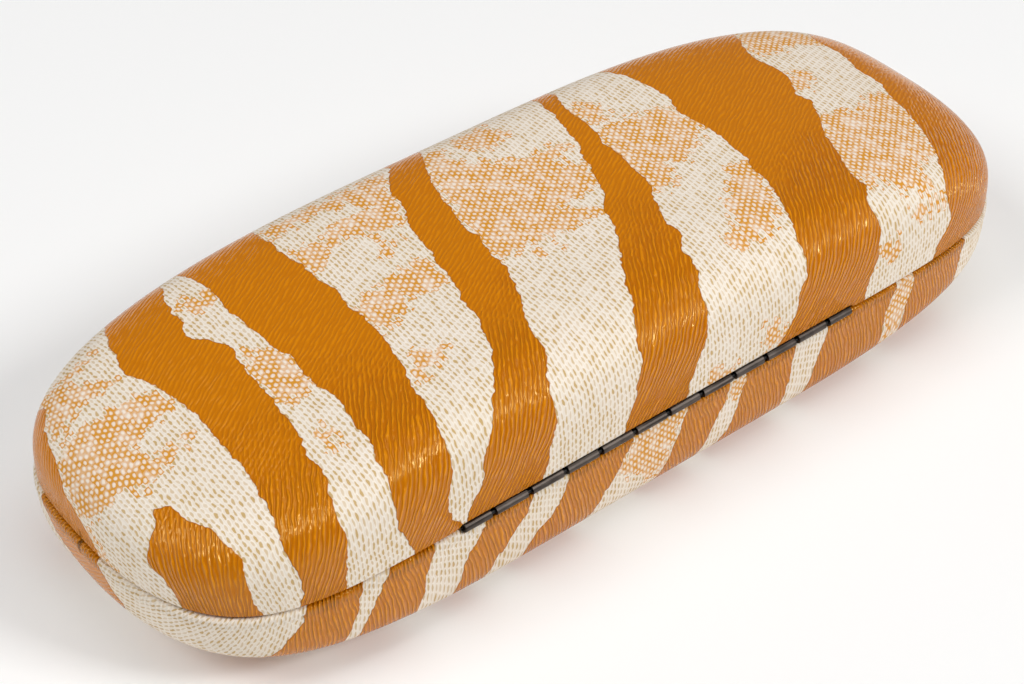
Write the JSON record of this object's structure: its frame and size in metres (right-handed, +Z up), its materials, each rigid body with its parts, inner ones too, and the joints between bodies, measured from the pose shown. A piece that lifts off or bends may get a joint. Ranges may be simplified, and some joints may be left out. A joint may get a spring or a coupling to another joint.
{
  "type": "eyeglasses case",
  "caption": "Hard clamshell eyeglasses case with a textured wrap-around cover, a rolled rear hinge, snap springs and flocked trays.",
  "frame": {"origin": "under the middle of the closed case, on the plane that it stands on", "axes": "+X along the case's length, +Y towards the hinge, +Z up"},
  "size_m": [0.16, 0.0609, 0.0336],
  "materials": {
    "cover": "coated imitation leather: satin orange-brown ridged stripes over an off-white woven ground",
    "shell_steel": "plain pressed sheet steel",
    "foam": "thin grey foam",
    "flock": "dark brown flocking on a moulded tray",
    "hinge_metal": "dark gunmetal plated steel, satin",
    "spring_steel": "bright flat spring steel"
  },
  "bodies": {
    "base": {"base_cover": "cover", "base_shell": "shell_steel", "base_pad": "foam", "base_liner": "flock", "base_hinge_leaf": "hinge_metal", "hinge_pin": "hinge_metal", "base_leaf_rivet_1": "shell_steel", "base_leaf_rivet_2": "shell_steel", "base_leaf_rivet_3": "shell_steel", "base_leaf_rivet_4": "shell_steel"},
    "lid": {"lid_cover": "cover", "lid_shell": "shell_steel", "lid_pad": "foam", "lid_liner": "flock", "lid_hinge_leaf": "hinge_metal", "lid_leaf_rivet_1": "shell_steel", "lid_leaf_rivet_2": "shell_steel", "lid_leaf_rivet_3": "shell_steel", "lid_leaf_rivet_4": "shell_steel"},
    "left_spring": {"snap_spring_left": "spring_steel"},
    "right_spring": {"snap_spring_right": "spring_steel"}
  },
  "joints": [
    {"name": "lid_hinge", "type": "hinge", "parent": "base", "child": "lid", "pos_m": [0.0015, 0.02975, 0.0162], "axis": [-1, 0, 0], "range_deg": [0, 120]},
    {"name": "left_spring_swing", "type": "hinge", "parent": "base", "child": "left_spring", "pos_m": [-0.01785, 0.02693, 0.01131], "axis": [-1, 0, 0], "range_deg": [0, 60]},
    {"name": "right_spring_swing", "type": "hinge", "parent": "base", "child": "right_spring", "pos_m": [0.02085, 0.02693, 0.01131], "axis": [-1, 0, 0], "range_deg": [0, 60]}
  ],
  "couplings": [
    {"joint": "left_spring_swing", "follows": "lid_hinge", "ratio": 0.5},
    {"joint": "right_spring_swing", "follows": "lid_hinge", "ratio": 0.5}
  ]
}
